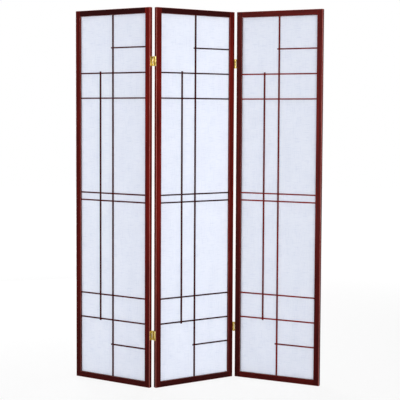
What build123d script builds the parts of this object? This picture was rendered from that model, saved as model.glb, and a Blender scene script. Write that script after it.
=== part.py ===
from build123d import *
import os

# Folding screen: three framed fabric panels, hung edge to edge on two-way brass hinges,
# standing on the floor in a zigzag.
# Millimetres. +X runs along the screen, +Y away from the viewer, +Z up. The origin is on
# the floor, at the middle of the box that the standing screen fills.
# Each panel is drawn in its own frame first: X from its left edge, Y from its front face
# towards the back, Z from the floor.

# Panel frame
PANEL_HEIGHT = 1784.35
PANEL_WIDTH = 438.15
FRAME_THICKNESS = 19.05
STILE_WIDTH = 27.5
RAIL_HEIGHT = 27.5
OUTER_ROUNDING = 2.0
SIGHT_ROUNDING = 0.8

# Space that glue fills round every seated wooden joint
GLUE_LINE = 0.05

# Dowels, two in each corner joint
DOWEL_DIAMETER = 5.0
DOWEL_LENGTH = 32.0
DOWEL_PITCH = 9.0
DOWEL_CHAMFER = 0.6
DOWEL_END_ROOM = 1.0

# Lattice bars, let into notches behind the frame's sight edge
BAR_SETBACK = 5.0
BAR_DEPTH = 4.6
BAR_CHAMFER = 0.4
UPRIGHT_BAR_WIDTH = 7.5
CROSS_BAR_HEIGHT = 6.35
NOTCH_DEPTH = 5.0
NOTCH_END_ROOM = 0.2

# Lattice layout, to the bars' centre lines
END_CELL_HEIGHT = 154.0
SMALL_CELL_HEIGHT = 119.0
MIDDLE_PAIR_PITCH = 36.0
SIDE_BAR_INSET = 117.2
SIDE_BAR_TAIL = 8.5
SHORT_BAR_TAIL = 10.0

# Rear rebate with the fabric and the beads that hold it
REBATE_WIDTH = 6.5
FABRIC_THICKNESS = 0.5
FABRIC_EDGE_ROOM = 0.5
BEAD_THICKNESS = 6.5
BEAD_BEVEL = 2.0

# Two-way hinges, two on each junction
HINGE_INSET = 249.0
HINGE_HEIGHT = 44.0
LEAF_THICKNESS = 1.6
LEAF_CORNER_ROUNDING = 2.0
BEND_ROUNDING = 1.2
BARREL_RADIUS = 3.6
BARREL_AIR = 0.3
KNUCKLE_HEIGHT = 10.0
KNUCKLE_AIR = 0.3
LINK_THICKNESS = 1.6
LINK_AIR = 0.4
PIN_RADIUS = 1.5
PIN_CLEARANCE = 0.05
PIN_STANDOFF = 0.5
PIN_HEAD_RADIUS = 2.4
PIN_HEAD_HEIGHT = 1.0
PIN_HEAD_ROUNDING = 0.6
PIN_END_AIR = 0.2

# Countersunk screws, two in each hinge leaf
SCREW_LENGTH = 12.7
SCREW_RADIUS = 1.4
SCREW_HEAD_RADIUS = 2.8
SCREW_HEAD_SINK = 0.1
SCREW_TIP_LENGTH = 2.5
SCREW_TIP_RADIUS = 0.3
SCREW_PITCH = 27.0
SCREW_CLEARANCE = 0.05
RECESS_LENGTH = 2.8
RECESS_WIDTH = 0.6
RECESS_DEPTH = 0.9

# How the screen stands, in degrees
MIDDLE_TURN = 32.0
LEFT_FOLD = 65.0
RIGHT_FOLD = 58.5

# How far a cutting tool runs past the wood that it cuts
OVERRUN = 5.0

# Sizes that follow from those above
BAR_FRONT = BAR_SETBACK
SHOULDER = BAR_SETBACK + BAR_DEPTH
PANEL_GAP = 2 * (LEAF_THICKNESS + BARREL_AIR + BARREL_RADIUS)
FRONT_PIN_Y = -PIN_STANDOFF
REAR_PIN_Y = FRAME_THICKNESS + PIN_STANDOFF
PANEL_X = (0, PANEL_WIDTH)
PANEL_Y = (0, FRAME_THICKNESS)
PANEL_Z = (0, PANEL_HEIGHT)
SIGHT_X = (STILE_WIDTH, PANEL_WIDTH - STILE_WIDTH)
SIGHT_Z = (RAIL_HEIGHT, PANEL_HEIGHT - RAIL_HEIGHT)
CENTRE_BAR_X = PANEL_WIDTH / 2
SIDE_BAR_X = SIGHT_X[0] + SIDE_BAR_INSET
MID_HEIGHT = PANEL_HEIGHT / 2
SCREW_HEIGHTS = (-SCREW_PITCH / 2, SCREW_PITCH / 2)
HINGE_HEIGHTS = (HINGE_INSET, PANEL_HEIGHT - HINGE_INSET)


def mirrored_pair(height_above_middle):
    """Two heights, the same way above and below the panel's mid-height."""
    return (MID_HEIGHT - height_above_middle, MID_HEIGHT + height_above_middle)


SHORT_BAR_HEIGHTS = mirrored_pair(MID_HEIGHT - RAIL_HEIGHT - END_CELL_HEIGHT)
OUTER_BAR_HEIGHTS = mirrored_pair(MID_HEIGHT - RAIL_HEIGHT - END_CELL_HEIGHT - SMALL_CELL_HEIGHT)
INNER_BAR_HEIGHTS = mirrored_pair(MID_HEIGHT - RAIL_HEIGHT - END_CELL_HEIGHT - 2 * SMALL_CELL_HEIGHT)
MIDDLE_BAR_HEIGHTS = mirrored_pair(MIDDLE_PAIR_PITCH / 2)
FULL_BAR_HEIGHTS = OUTER_BAR_HEIGHTS + INNER_BAR_HEIGHTS + MIDDLE_BAR_HEIGHTS


def block(x_span, y_span, z_span):
    """Box between a low and a high limit along each axis."""
    spans = (x_span, y_span, z_span)
    sizes = [high - low for low, high in spans]
    lows = [low for low, high in spans]
    return Pos(*lows) * Box(*sizes, align=(Align.MIN, Align.MIN, Align.MIN))


def grown(span, room):
    """The span, longer by room at both ends."""
    return (span[0] - room, span[1] + room)


def around(centre, width):
    """The span of this width round a centre."""
    return (centre - width / 2, centre + width / 2)


def rod_along_x(radius, x_span, y, z):
    """Round rod along X."""
    length = x_span[1] - x_span[0]
    rod = Cylinder(radius, length, align=(Align.CENTER, Align.CENTER, Align.MIN))
    return Pos(x_span[0], y, z) * Rot(0, 90, 0) * rod


def rod_along_z(radius, y, z_span):
    """Round rod along Z, standing on the plane that halves the gap between two panels."""
    length = z_span[1] - z_span[0]
    rod = Cylinder(radius, length, align=(Align.CENTER, Align.CENTER, Align.MIN))
    return Pos(0, y, z_span[0]) * rod


# Frame of one panel

def frame_ring():
    """The four frame members as one ring, with rounded edges and the rear rebate."""
    blank = block(PANEL_X, PANEL_Y, PANEL_Z)
    blank = fillet(blank.edges(), OUTER_ROUNDING)
    ring = blank - block(SIGHT_X, grown(PANEL_Y, OVERRUN), SIGHT_Z)
    inside_x = grown(SIGHT_X, GLUE_LINE)
    inside_z = grown(SIGHT_Z, GLUE_LINE)
    sight_edges = [
        edge
        for edge in ring.edges()
        if abs(edge.center().Y) < GLUE_LINE
        and inside_x[0] < edge.center().X < inside_x[1]
        and inside_z[0] < edge.center().Z < inside_z[1]
    ]
    ring = fillet(sight_edges, SIGHT_ROUNDING)
    rebate = block(
        grown(SIGHT_X, REBATE_WIDTH),
        (SHOULDER, FRAME_THICKNESS + OVERRUN),
        grown(SIGHT_Z, REBATE_WIDTH),
    )
    return ring - rebate


def dowel_heights():
    """Heights of the dowels, in the solid part of each rail outside the rebate."""
    middle = (RAIL_HEIGHT - REBATE_WIDTH) / 2
    low_pair = around(middle, DOWEL_PITCH)
    high_pair = [PANEL_HEIGHT - height for height in low_pair]
    return [*low_pair, *high_pair]


def dowel_holes():
    """Holes for all the dowels, through both sides of each corner joint."""
    reach = DOWEL_LENGTH + 2 * DOWEL_END_ROOM
    return [
        rod_along_x(DOWEL_DIAMETER / 2 + GLUE_LINE, around(joint_x, reach), FRAME_THICKNESS / 2, height)
        for joint_x in SIGHT_X
        for height in dowel_heights()
    ]


def dowels():
    """The eight dowels of one panel."""
    made = []
    for joint_x in SIGHT_X:
        for height in dowel_heights():
            dowel = rod_along_x(
                DOWEL_DIAMETER / 2, around(joint_x, DOWEL_LENGTH), FRAME_THICKNESS / 2, height
            )
            rims = dowel.edges().filter_by(GeomType.CIRCLE)
            made.append(chamfer(rims, DOWEL_CHAMFER))
    return made


def cross_bar_notches(x_span, heights):
    """Notches for the ends of cross bars, cut into a stile from its rebate."""
    return [
        block(
            x_span,
            (BAR_FRONT - GLUE_LINE, SHOULDER + OVERRUN),
            around(height, CROSS_BAR_HEIGHT + 2 * GLUE_LINE),
        )
        for height in heights
    ]


def left_stile(ring):
    """Left upright of the frame."""
    stile = ring & block((0, STILE_WIDTH), PANEL_Y, PANEL_Z)
    notch_x = (STILE_WIDTH - NOTCH_DEPTH, STILE_WIDTH + OVERRUN)
    return stile - dowel_holes() - cross_bar_notches(notch_x, FULL_BAR_HEIGHTS)


def right_stile(ring):
    """Right upright of the frame, which also takes the two short cross bars."""
    inner = PANEL_WIDTH - STILE_WIDTH
    stile = ring & block((inner, PANEL_WIDTH), PANEL_Y, PANEL_Z)
    notch_x = (inner - OVERRUN, inner + NOTCH_DEPTH)
    heights = FULL_BAR_HEIGHTS + SHORT_BAR_HEIGHTS
    return stile - dowel_holes() - cross_bar_notches(notch_x, heights)


def rail(ring, z_span, notch_z):
    """Top or bottom rail, between the stiles."""
    member = ring & block(grown(SIGHT_X, -GLUE_LINE), PANEL_Y, z_span)
    notch = block(
        around(CENTRE_BAR_X, UPRIGHT_BAR_WIDTH + 2 * GLUE_LINE),
        (BAR_FRONT - GLUE_LINE, SHOULDER + OVERRUN),
        notch_z,
    )
    return member - dowel_holes() - notch


def bottom_rail(ring):
    """Bottom rail."""
    return rail(ring, (0, SIGHT_Z[0]), (SIGHT_Z[0] - NOTCH_DEPTH, SIGHT_Z[0] + OVERRUN))


def top_rail(ring):
    """Top rail."""
    return rail(ring, (SIGHT_Z[1], PANEL_HEIGHT), (SIGHT_Z[1] - OVERRUN, SIGHT_Z[1] + NOTCH_DEPTH))


# Lattice of one panel: uprights pass in front at each crossing, cross bars behind

def bar(x_span, z_span, long_axis):
    """Lattice bar with its two long front edges chamfered."""
    blank = block(x_span, (BAR_FRONT, SHOULDER), z_span)
    front = blank.faces().sort_by(Axis.Y)[0]
    return chamfer(front.edges().filter_by(long_axis), BAR_CHAMFER)


def upright_bar(x, z_span, crossings):
    """Upright bar, halved from behind where cross bars pass."""
    upright = bar(around(x, UPRIGHT_BAR_WIDTH), z_span, Axis.Z)
    halvings = [
        block(
            around(x, UPRIGHT_BAR_WIDTH + 2 * OVERRUN),
            (BAR_FRONT + BAR_DEPTH / 2, SHOULDER + OVERRUN),
            around(height, CROSS_BAR_HEIGHT + 2 * GLUE_LINE),
        )
        for height in crossings
    ]
    return upright - halvings


def cross_bar(x_span, height, crossings):
    """Cross bar, halved from the front where uprights pass."""
    crossing_bar = bar(x_span, around(height, CROSS_BAR_HEIGHT), Axis.X)
    halvings = [
        block(
            around(x, UPRIGHT_BAR_WIDTH + 2 * GLUE_LINE),
            (BAR_FRONT - OVERRUN, BAR_FRONT + BAR_DEPTH / 2 + GLUE_LINE),
            around(height, CROSS_BAR_HEIGHT + 2 * OVERRUN),
        )
        for x in crossings
    ]
    return crossing_bar - halvings


def centre_bar():
    """Full-height upright on the panel's centre line."""
    z_span = grown(SIGHT_Z, NOTCH_DEPTH - NOTCH_END_ROOM)
    return upright_bar(CENTRE_BAR_X, z_span, FULL_BAR_HEIGHTS + SHORT_BAR_HEIGHTS)


def side_bar():
    """Upright left of the centre, whose ends stand a little past the outer cross bars."""
    z_span = grown(OUTER_BAR_HEIGHTS, SIDE_BAR_TAIL)
    return upright_bar(SIDE_BAR_X, z_span, FULL_BAR_HEIGHTS)


def full_cross_bars(heights):
    """Cross bars from stile to stile."""
    x_span = grown(SIGHT_X, NOTCH_DEPTH - NOTCH_END_ROOM)
    return [cross_bar(x_span, height, (SIDE_BAR_X, CENTRE_BAR_X)) for height in heights]


def short_cross_bars():
    """Cross bars from the right stile to just past the centre bar."""
    x_span = (CENTRE_BAR_X - SHORT_BAR_TAIL, SIGHT_X[1] + NOTCH_DEPTH - NOTCH_END_ROOM)
    return [cross_bar(x_span, height, (CENTRE_BAR_X,)) for height in SHORT_BAR_HEIGHTS]


# Fabric of one panel and the beads behind it

def fabric():
    """Fabric stretched flat over the rebate's shoulder, behind the lattice."""
    edge_reach = REBATE_WIDTH - FABRIC_EDGE_ROOM
    front = SHOULDER + GLUE_LINE
    return block(grown(SIGHT_X, edge_reach), (front, front + FABRIC_THICKNESS), grown(SIGHT_Z, edge_reach))


def retaining_beads():
    """Four beads in the rebate, bevelled on the edge that faces the fabric."""
    outer_x = grown(SIGHT_X, REBATE_WIDTH - GLUE_LINE)
    outer_z = grown(SIGHT_Z, REBATE_WIDTH - GLUE_LINE)
    front = SHOULDER + FABRIC_THICKNESS + 2 * GLUE_LINE
    y_span = (front, front + BEAD_THICKNESS)
    between_x = grown(SIGHT_X, -GLUE_LINE)
    left = block((outer_x[0], SIGHT_X[0]), y_span, outer_z)
    right = block((SIGHT_X[1], outer_x[1]), y_span, outer_z)
    low = block(between_x, y_span, (outer_z[0], SIGHT_Z[0]))
    high = block(between_x, y_span, (SIGHT_Z[1], outer_z[1]))
    bevelled = []
    for bead, long_axis, across, inner_end in (
        (left, Axis.Z, Axis.X, -1),
        (right, Axis.Z, Axis.X, 0),
        (low, Axis.X, Axis.Z, -1),
        (high, Axis.X, Axis.Z, 0),
    ):
        rear = bead.faces().sort_by(Axis.Y)[-1]
        inner_edge = rear.edges().filter_by(long_axis).sort_by(across)[inner_end]
        bevelled.append(chamfer(inner_edge, BEAD_BEVEL))
    return bevelled


# Two-way hinge. It is drawn with the panels in line: X from the middle of the gap between
# them, Y from the front face towards the back, Z from the hinge's own middle.

LEAF_FRONT = FRONT_PIN_Y + BARREL_RADIUS - LEAF_THICKNESS
LEAF_BACK = FRAME_THICKNESS - LEAF_FRONT
LEAF_X = (PANEL_GAP / 2 - LEAF_THICKNESS, PANEL_GAP / 2)
HINGE_Z = around(0, HINGE_HEIGHT)
LINK_KNUCKLE_Z = grown(HINGE_Z, -(KNUCKLE_HEIGHT + KNUCKLE_AIR))
END_KNUCKLES_Z = (
    (HINGE_Z[0], HINGE_Z[0] + KNUCKLE_HEIGHT),
    (HINGE_Z[1] - KNUCKLE_HEIGHT, HINGE_Z[1]),
)
HALF_TURN = Pos(0, FRAME_THICKNESS / 2, 0) * Rot(0, 0, 180) * Pos(0, -FRAME_THICKNESS / 2, 0)


def pin_bore(pin_y):
    """Bore for a hinge pin, through every knuckle."""
    return rod_along_z(PIN_RADIUS + PIN_CLEARANCE, pin_y, grown(HINGE_Z, OVERRUN))


def screw_body(room):
    """Screw with its axis along X and its head at the hinge leaf's face, larger by room."""
    head_face = LEAF_X[0] + SCREW_HEAD_SINK
    head_height = SCREW_HEAD_RADIUS - SCREW_RADIUS
    shank = SCREW_LENGTH - head_height - SCREW_TIP_LENGTH
    seat = (Align.CENTER, Align.CENTER, Align.MIN)
    head = Cone(SCREW_HEAD_RADIUS + room, SCREW_RADIUS + room, head_height, align=seat)
    body = head + Pos(0, 0, head_height) * Cylinder(SCREW_RADIUS + room, shank, align=seat)
    tip = Cone(SCREW_RADIUS + room, SCREW_TIP_RADIUS + room, SCREW_TIP_LENGTH + room, align=seat)
    body = body + Pos(0, 0, head_height + shank) * tip
    return Pos(head_face, FRAME_THICKNESS / 2, 0) * Rot(0, 90, 0) * body


def screw_mouth():
    """Cylinder that clears the hinge leaf in front of a screw's head."""
    x_span = (LEAF_X[0] - OVERRUN, LEAF_X[0] + SCREW_HEAD_SINK)
    return rod_along_x(SCREW_HEAD_RADIUS + SCREW_CLEARANCE, x_span, FRAME_THICKNESS / 2, 0)


def screw():
    """Countersunk screw with a cross recess, for the leaf on the right-hand panel."""
    bottom = LEAF_X[0] + SCREW_HEAD_SINK + RECESS_DEPTH
    x_span = (LEAF_X[0] - OVERRUN, bottom)
    depth_middle = FRAME_THICKNESS / 2
    flat_slot = block(x_span, around(depth_middle, RECESS_LENGTH), around(0, RECESS_WIDTH))
    tall_slot = block(x_span, around(depth_middle, RECESS_WIDTH), around(0, RECESS_LENGTH))
    return screw_body(0) - flat_slot - tall_slot


def leaf_screws():
    """The two screws of the leaf on the right-hand panel."""
    return [Pos(0, 0, height) * screw() for height in SCREW_HEIGHTS]


def leaf():
    """Leaf for the right-hand panel's edge, bent forward round the front pin."""
    plate = block(LEAF_X, (LEAF_FRONT, LEAF_BACK), HINGE_Z)
    back_corners = plate.faces().sort_by(Axis.Y)[-1].edges().filter_by(Axis.X)
    made = fillet(back_corners, LEAF_CORNER_ROUNDING)
    for z_span in END_KNUCKLES_Z:
        web = block((0, LEAF_X[1]), (LEAF_FRONT, LEAF_FRONT + LEAF_THICKNESS), z_span)
        made = made + web + rod_along_z(BARREL_RADIUS, FRONT_PIN_Y, z_span)
    bends = [
        edge
        for edge in made.edges().filter_by(Axis.Z)
        if abs(edge.center().X - LEAF_X[1]) < GLUE_LINE and abs(edge.center().Y - LEAF_FRONT) < GLUE_LINE
    ]
    made = fillet(bends, BEND_ROUNDING)
    for height in SCREW_HEIGHTS:
        made = made - Pos(0, 0, height) * (screw_body(SCREW_CLEARANCE) + screw_mouth())
    return made - pin_bore(FRONT_PIN_Y)


def link():
    """Plate between the front and the rear pin, with a knuckle on each."""
    plate_x = around(0, LINK_THICKNESS)
    made = block(plate_x, (FRONT_PIN_Y, REAR_PIN_Y), LINK_KNUCKLE_Z)
    pins_apart = (FRONT_PIN_Y, REAR_PIN_Y)
    made = made + block(plate_x, grown(pins_apart, -(BARREL_RADIUS + LINK_AIR)), HINGE_Z)
    for pin_y in pins_apart:
        made = made + rod_along_z(BARREL_RADIUS, pin_y, LINK_KNUCKLE_Z)
    return made - pin_bore(FRONT_PIN_Y) - pin_bore(REAR_PIN_Y)


def pin(pin_y):
    """Hinge pin with a rounded head at both ends."""
    shaft_z = grown(HINGE_Z, PIN_END_AIR)
    made = rod_along_z(PIN_RADIUS, pin_y, shaft_z)
    for z_span, rim_end in (
        ((shaft_z[0] - PIN_HEAD_HEIGHT, shaft_z[0]), 0),
        ((shaft_z[1], shaft_z[1] + PIN_HEAD_HEIGHT), -1),
    ):
        head = rod_along_z(PIN_HEAD_RADIUS, pin_y, z_span)
        rim = head.edges().filter_by(GeomType.CIRCLE).sort_by(Axis.Z)[rim_end]
        made = made + fillet(rim, PIN_HEAD_ROUNDING)
    return made


def pins():
    """Front and rear pin of one hinge."""
    return [pin(FRONT_PIN_Y), pin(REAR_PIN_Y)]


# Where the hinges and panels stand

LEFT_GAP_X = -PANEL_GAP / 2
RIGHT_GAP_X = PANEL_WIDTH + PANEL_GAP / 2


def hinge_places(gap_x):
    """Places of a lower and an upper hinge in a panel's own frame, beside one of its edges."""
    return [Pos(gap_x, 0, height) for height in HINGE_HEIGHTS]


def pilot_holes(gap_x, turn):
    """Holes for the screws of both hinges in one edge of a panel."""
    return [
        place * turn * Pos(0, 0, height) * screw_body(SCREW_CLEARANCE)
        for place in hinge_places(gap_x)
        for height in SCREW_HEIGHTS
    ]


def panel_places():
    """Place of each panel, turned about the pins that it hangs on."""
    middle = Rot(0, 0, MIDDLE_TURN)
    rear_pin = Pos(LEFT_GAP_X, REAR_PIN_Y, 0)
    front_pin = Pos(RIGHT_GAP_X, FRONT_PIN_Y, 0)
    left = middle * rear_pin * Rot(0, 0, -LEFT_FOLD) * Pos(-RIGHT_GAP_X, -REAR_PIN_Y, 0)
    right = middle * front_pin * Rot(0, 0, -RIGHT_FOLD) * Pos(-LEFT_GAP_X, -FRONT_PIN_Y, 0)
    return {"left": left, "middle": middle, "right": right}


def plain_panel():
    """Pieces of a panel before any hinge is screwed to it, in the panel's own frame."""
    ring = frame_ring()
    return {
        "left_stile": [left_stile(ring)],
        "right_stile": [right_stile(ring)],
        "top_rail": [top_rail(ring)],
        "bottom_rail": [bottom_rail(ring)],
        "frame_dowels": dowels(),
        "centre_bar": [centre_bar()],
        "side_bar": [side_bar()],
        "middle_cross_bars": full_cross_bars(MIDDLE_BAR_HEIGHTS),
        "inner_cross_bars": full_cross_bars(INNER_BAR_HEIGHTS),
        "outer_cross_bars": full_cross_bars(OUTER_BAR_HEIGHTS),
        "short_cross_bars": short_cross_bars(),
        "fabric": [fabric()],
        "retaining_beads": retaining_beads(),
    }


def hinged_panel(plain, hinged_edges):
    """A panel with pilot holes and screws at the edges that carry hinges."""
    pieces = dict(plain, hinge_screws=[])
    for stile, gap_x, turn in (
        ("left_stile", LEFT_GAP_X, Pos(0, 0, 0)),
        ("right_stile", RIGHT_GAP_X, HALF_TURN),
    ):
        if stile in hinged_edges:
            pieces[stile] = [plain[stile][0] - pilot_holes(gap_x, turn)]
            pieces["hinge_screws"] = pieces["hinge_screws"] + [
                place * turn * one for place in hinge_places(gap_x) for one in leaf_screws()
            ]
    return pieces


def hinge_nodes(junction, left_panel, right_panel, link_place):
    """Pieces of the lower and the upper hinge of one junction, by node name."""
    one_leaf, one_link, both_pins = leaf(), link(), pins()
    made = {}
    for level, height in zip(("lower", "upper"), HINGE_HEIGHTS):
        raised = Pos(0, 0, height)
        name = f"{junction}_{level}_hinge"
        made[f"{name}_left_leaf"] = [left_panel * Pos(RIGHT_GAP_X, 0, 0) * raised * HALF_TURN * one_leaf]
        made[f"{name}_right_leaf"] = [right_panel * Pos(LEFT_GAP_X, 0, 0) * raised * one_leaf]
        made[f"{name}_link"] = [link_place * raised * one_link]
        made[f"{name}_pins"] = [link_place * raised * one for one in both_pins]
    return made


def screen_nodes():
    """Every piece of the standing screen, by node name, with the floor's middle at the origin."""
    places = panel_places()
    left, middle, right = places["left"], places["middle"], places["right"]
    plain = plain_panel()
    nodes = {}
    for side, hinged_edges in (
        ("left", ("right_stile",)),
        ("middle", ("left_stile", "right_stile")),
        ("right", ("left_stile",)),
    ):
        for name, solids in hinged_panel(plain, hinged_edges).items():
            nodes[f"{side}_panel_{name}"] = [places[side] * one for one in solids]
    nodes.update(hinge_nodes("left", left, middle, middle * Pos(LEFT_GAP_X, 0, 0)))
    nodes.update(hinge_nodes("right", middle, right, middle * Pos(RIGHT_GAP_X, 0, 0)))
    boxes = [one.bounding_box() for solids in nodes.values() for one in solids]
    low = Vector(*(min(getattr(box.min, axis) for box in boxes) for axis in "XYZ"))
    high = Vector(*(max(getattr(box.max, axis) for box in boxes) for axis in "XYZ"))
    centre = (low + high) / 2
    to_origin = Pos(-centre.X, -centre.Y, -low.Z)
    centred = {name: [to_origin * one for one in solids] for name, solids in nodes.items()}
    return centred, to_origin * middle, high - low


def main():
    """Builds every piece, writes one file for each node and prints the pins' places."""
    os.makedirs("parts", exist_ok=True)
    nodes, middle, size = screen_nodes()
    for name, solids in nodes.items():
        shape = solids[0] if len(solids) == 1 else Compound(solids)
        export_step(shape, f"parts/{name}.step")
    print(f"nodes {len(nodes)}, size {size.X:.3f} x {size.Y:.3f} x {size.Z:.3f}")
    for name, gap_x, pin_y in (
        ("left front pin", LEFT_GAP_X, FRONT_PIN_Y),
        ("left rear pin", LEFT_GAP_X, REAR_PIN_Y),
        ("right rear pin", RIGHT_GAP_X, REAR_PIN_Y),
        ("right front pin", RIGHT_GAP_X, FRONT_PIN_Y),
    ):
        at = (middle * Pos(gap_x, pin_y, 0)).position
        print(f"{name} x {at.X:.5f} y {at.Y:.5f}")


main()
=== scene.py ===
"""The looks of a three-panel fabric folding screen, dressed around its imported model.

Every framed panel keeps its solids and gets stained wood whose grain follows each member.
The cloth, the brads that hold its beads, the lamps, the floor and the camera are made here.
Lengths are in metres where nothing else is said.
"""

import logging
import math
from dataclasses import dataclass
from enum import Enum

import bpy
import numpy as np
from mathutils import Euler, Matrix, Vector


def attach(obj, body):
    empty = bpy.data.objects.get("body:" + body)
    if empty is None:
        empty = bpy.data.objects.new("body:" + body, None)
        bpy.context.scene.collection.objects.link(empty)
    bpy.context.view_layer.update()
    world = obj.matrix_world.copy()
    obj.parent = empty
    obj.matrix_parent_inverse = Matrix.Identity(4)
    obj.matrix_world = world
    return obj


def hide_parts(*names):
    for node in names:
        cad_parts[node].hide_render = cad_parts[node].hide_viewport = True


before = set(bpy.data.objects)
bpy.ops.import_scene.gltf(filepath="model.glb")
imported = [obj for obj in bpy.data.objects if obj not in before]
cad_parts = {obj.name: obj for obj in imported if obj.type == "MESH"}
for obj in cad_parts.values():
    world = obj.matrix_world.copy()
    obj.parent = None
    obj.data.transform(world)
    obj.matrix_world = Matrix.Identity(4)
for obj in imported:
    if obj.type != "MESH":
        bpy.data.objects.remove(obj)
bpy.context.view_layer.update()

LOG = logging.getLogger("folding_screen")
PICTURE_SIDE = 400
WHITE = (1.0, 1.0, 1.0, 1.0)

Colour = tuple[float, float, float, float]
Span = tuple[float, float]
Point = tuple[float, float, float]
Socket = bpy.types.NodeSocket
Value = Socket | float | tuple


def tint(*levels: int) -> Colour:
    """A screen colour, 0 to 255 for its red, green and blue, as the linear one shaders take."""
    shares = (level / 255 for level in levels)
    return (*(x / 12.92 if x <= 0.04045 else ((x + 0.055) / 1.055) ** 2.4 for x in shares), 1.0)


def node_points(node: str) -> np.ndarray:
    """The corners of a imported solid's mesh, one row each."""
    return np.array([corner.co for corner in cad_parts[node].data.vertices])


def dress(node: str, material: bpy.types.Material) -> None:
    """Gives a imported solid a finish, in each of its slots.

    Args:
        node: the solid's name.
        material: the finish.
    """
    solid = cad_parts[node]
    for slot in solid.material_slots:
        slot.material = material
    if not solid.material_slots:
        solid.data.materials.append(material)


def add_object(name: str, data: bpy.types.ID) -> bpy.types.Object:
    """Puts a new object into the scene.

    Args:
        name: its name.
        data: its mesh, lamp or camera.

    Returns:
        The object.
    """
    made = bpy.data.objects.new(name, data)
    bpy.context.scene.collection.objects.link(made)
    return made


# Shader and geometry trees


@dataclass(frozen=True)
class Mark:
    """One kind of cloudy mark that a shader draws.

    Args:
        span: the noise values where a mark starts and where it is full.
        detail: how many finer layers it has.
        wander: how much it twists.
        scale: how many marks there are in a unit.
    """

    span: Span
    detail: float
    wander: float = 0.0
    scale: float = 1.0


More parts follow.
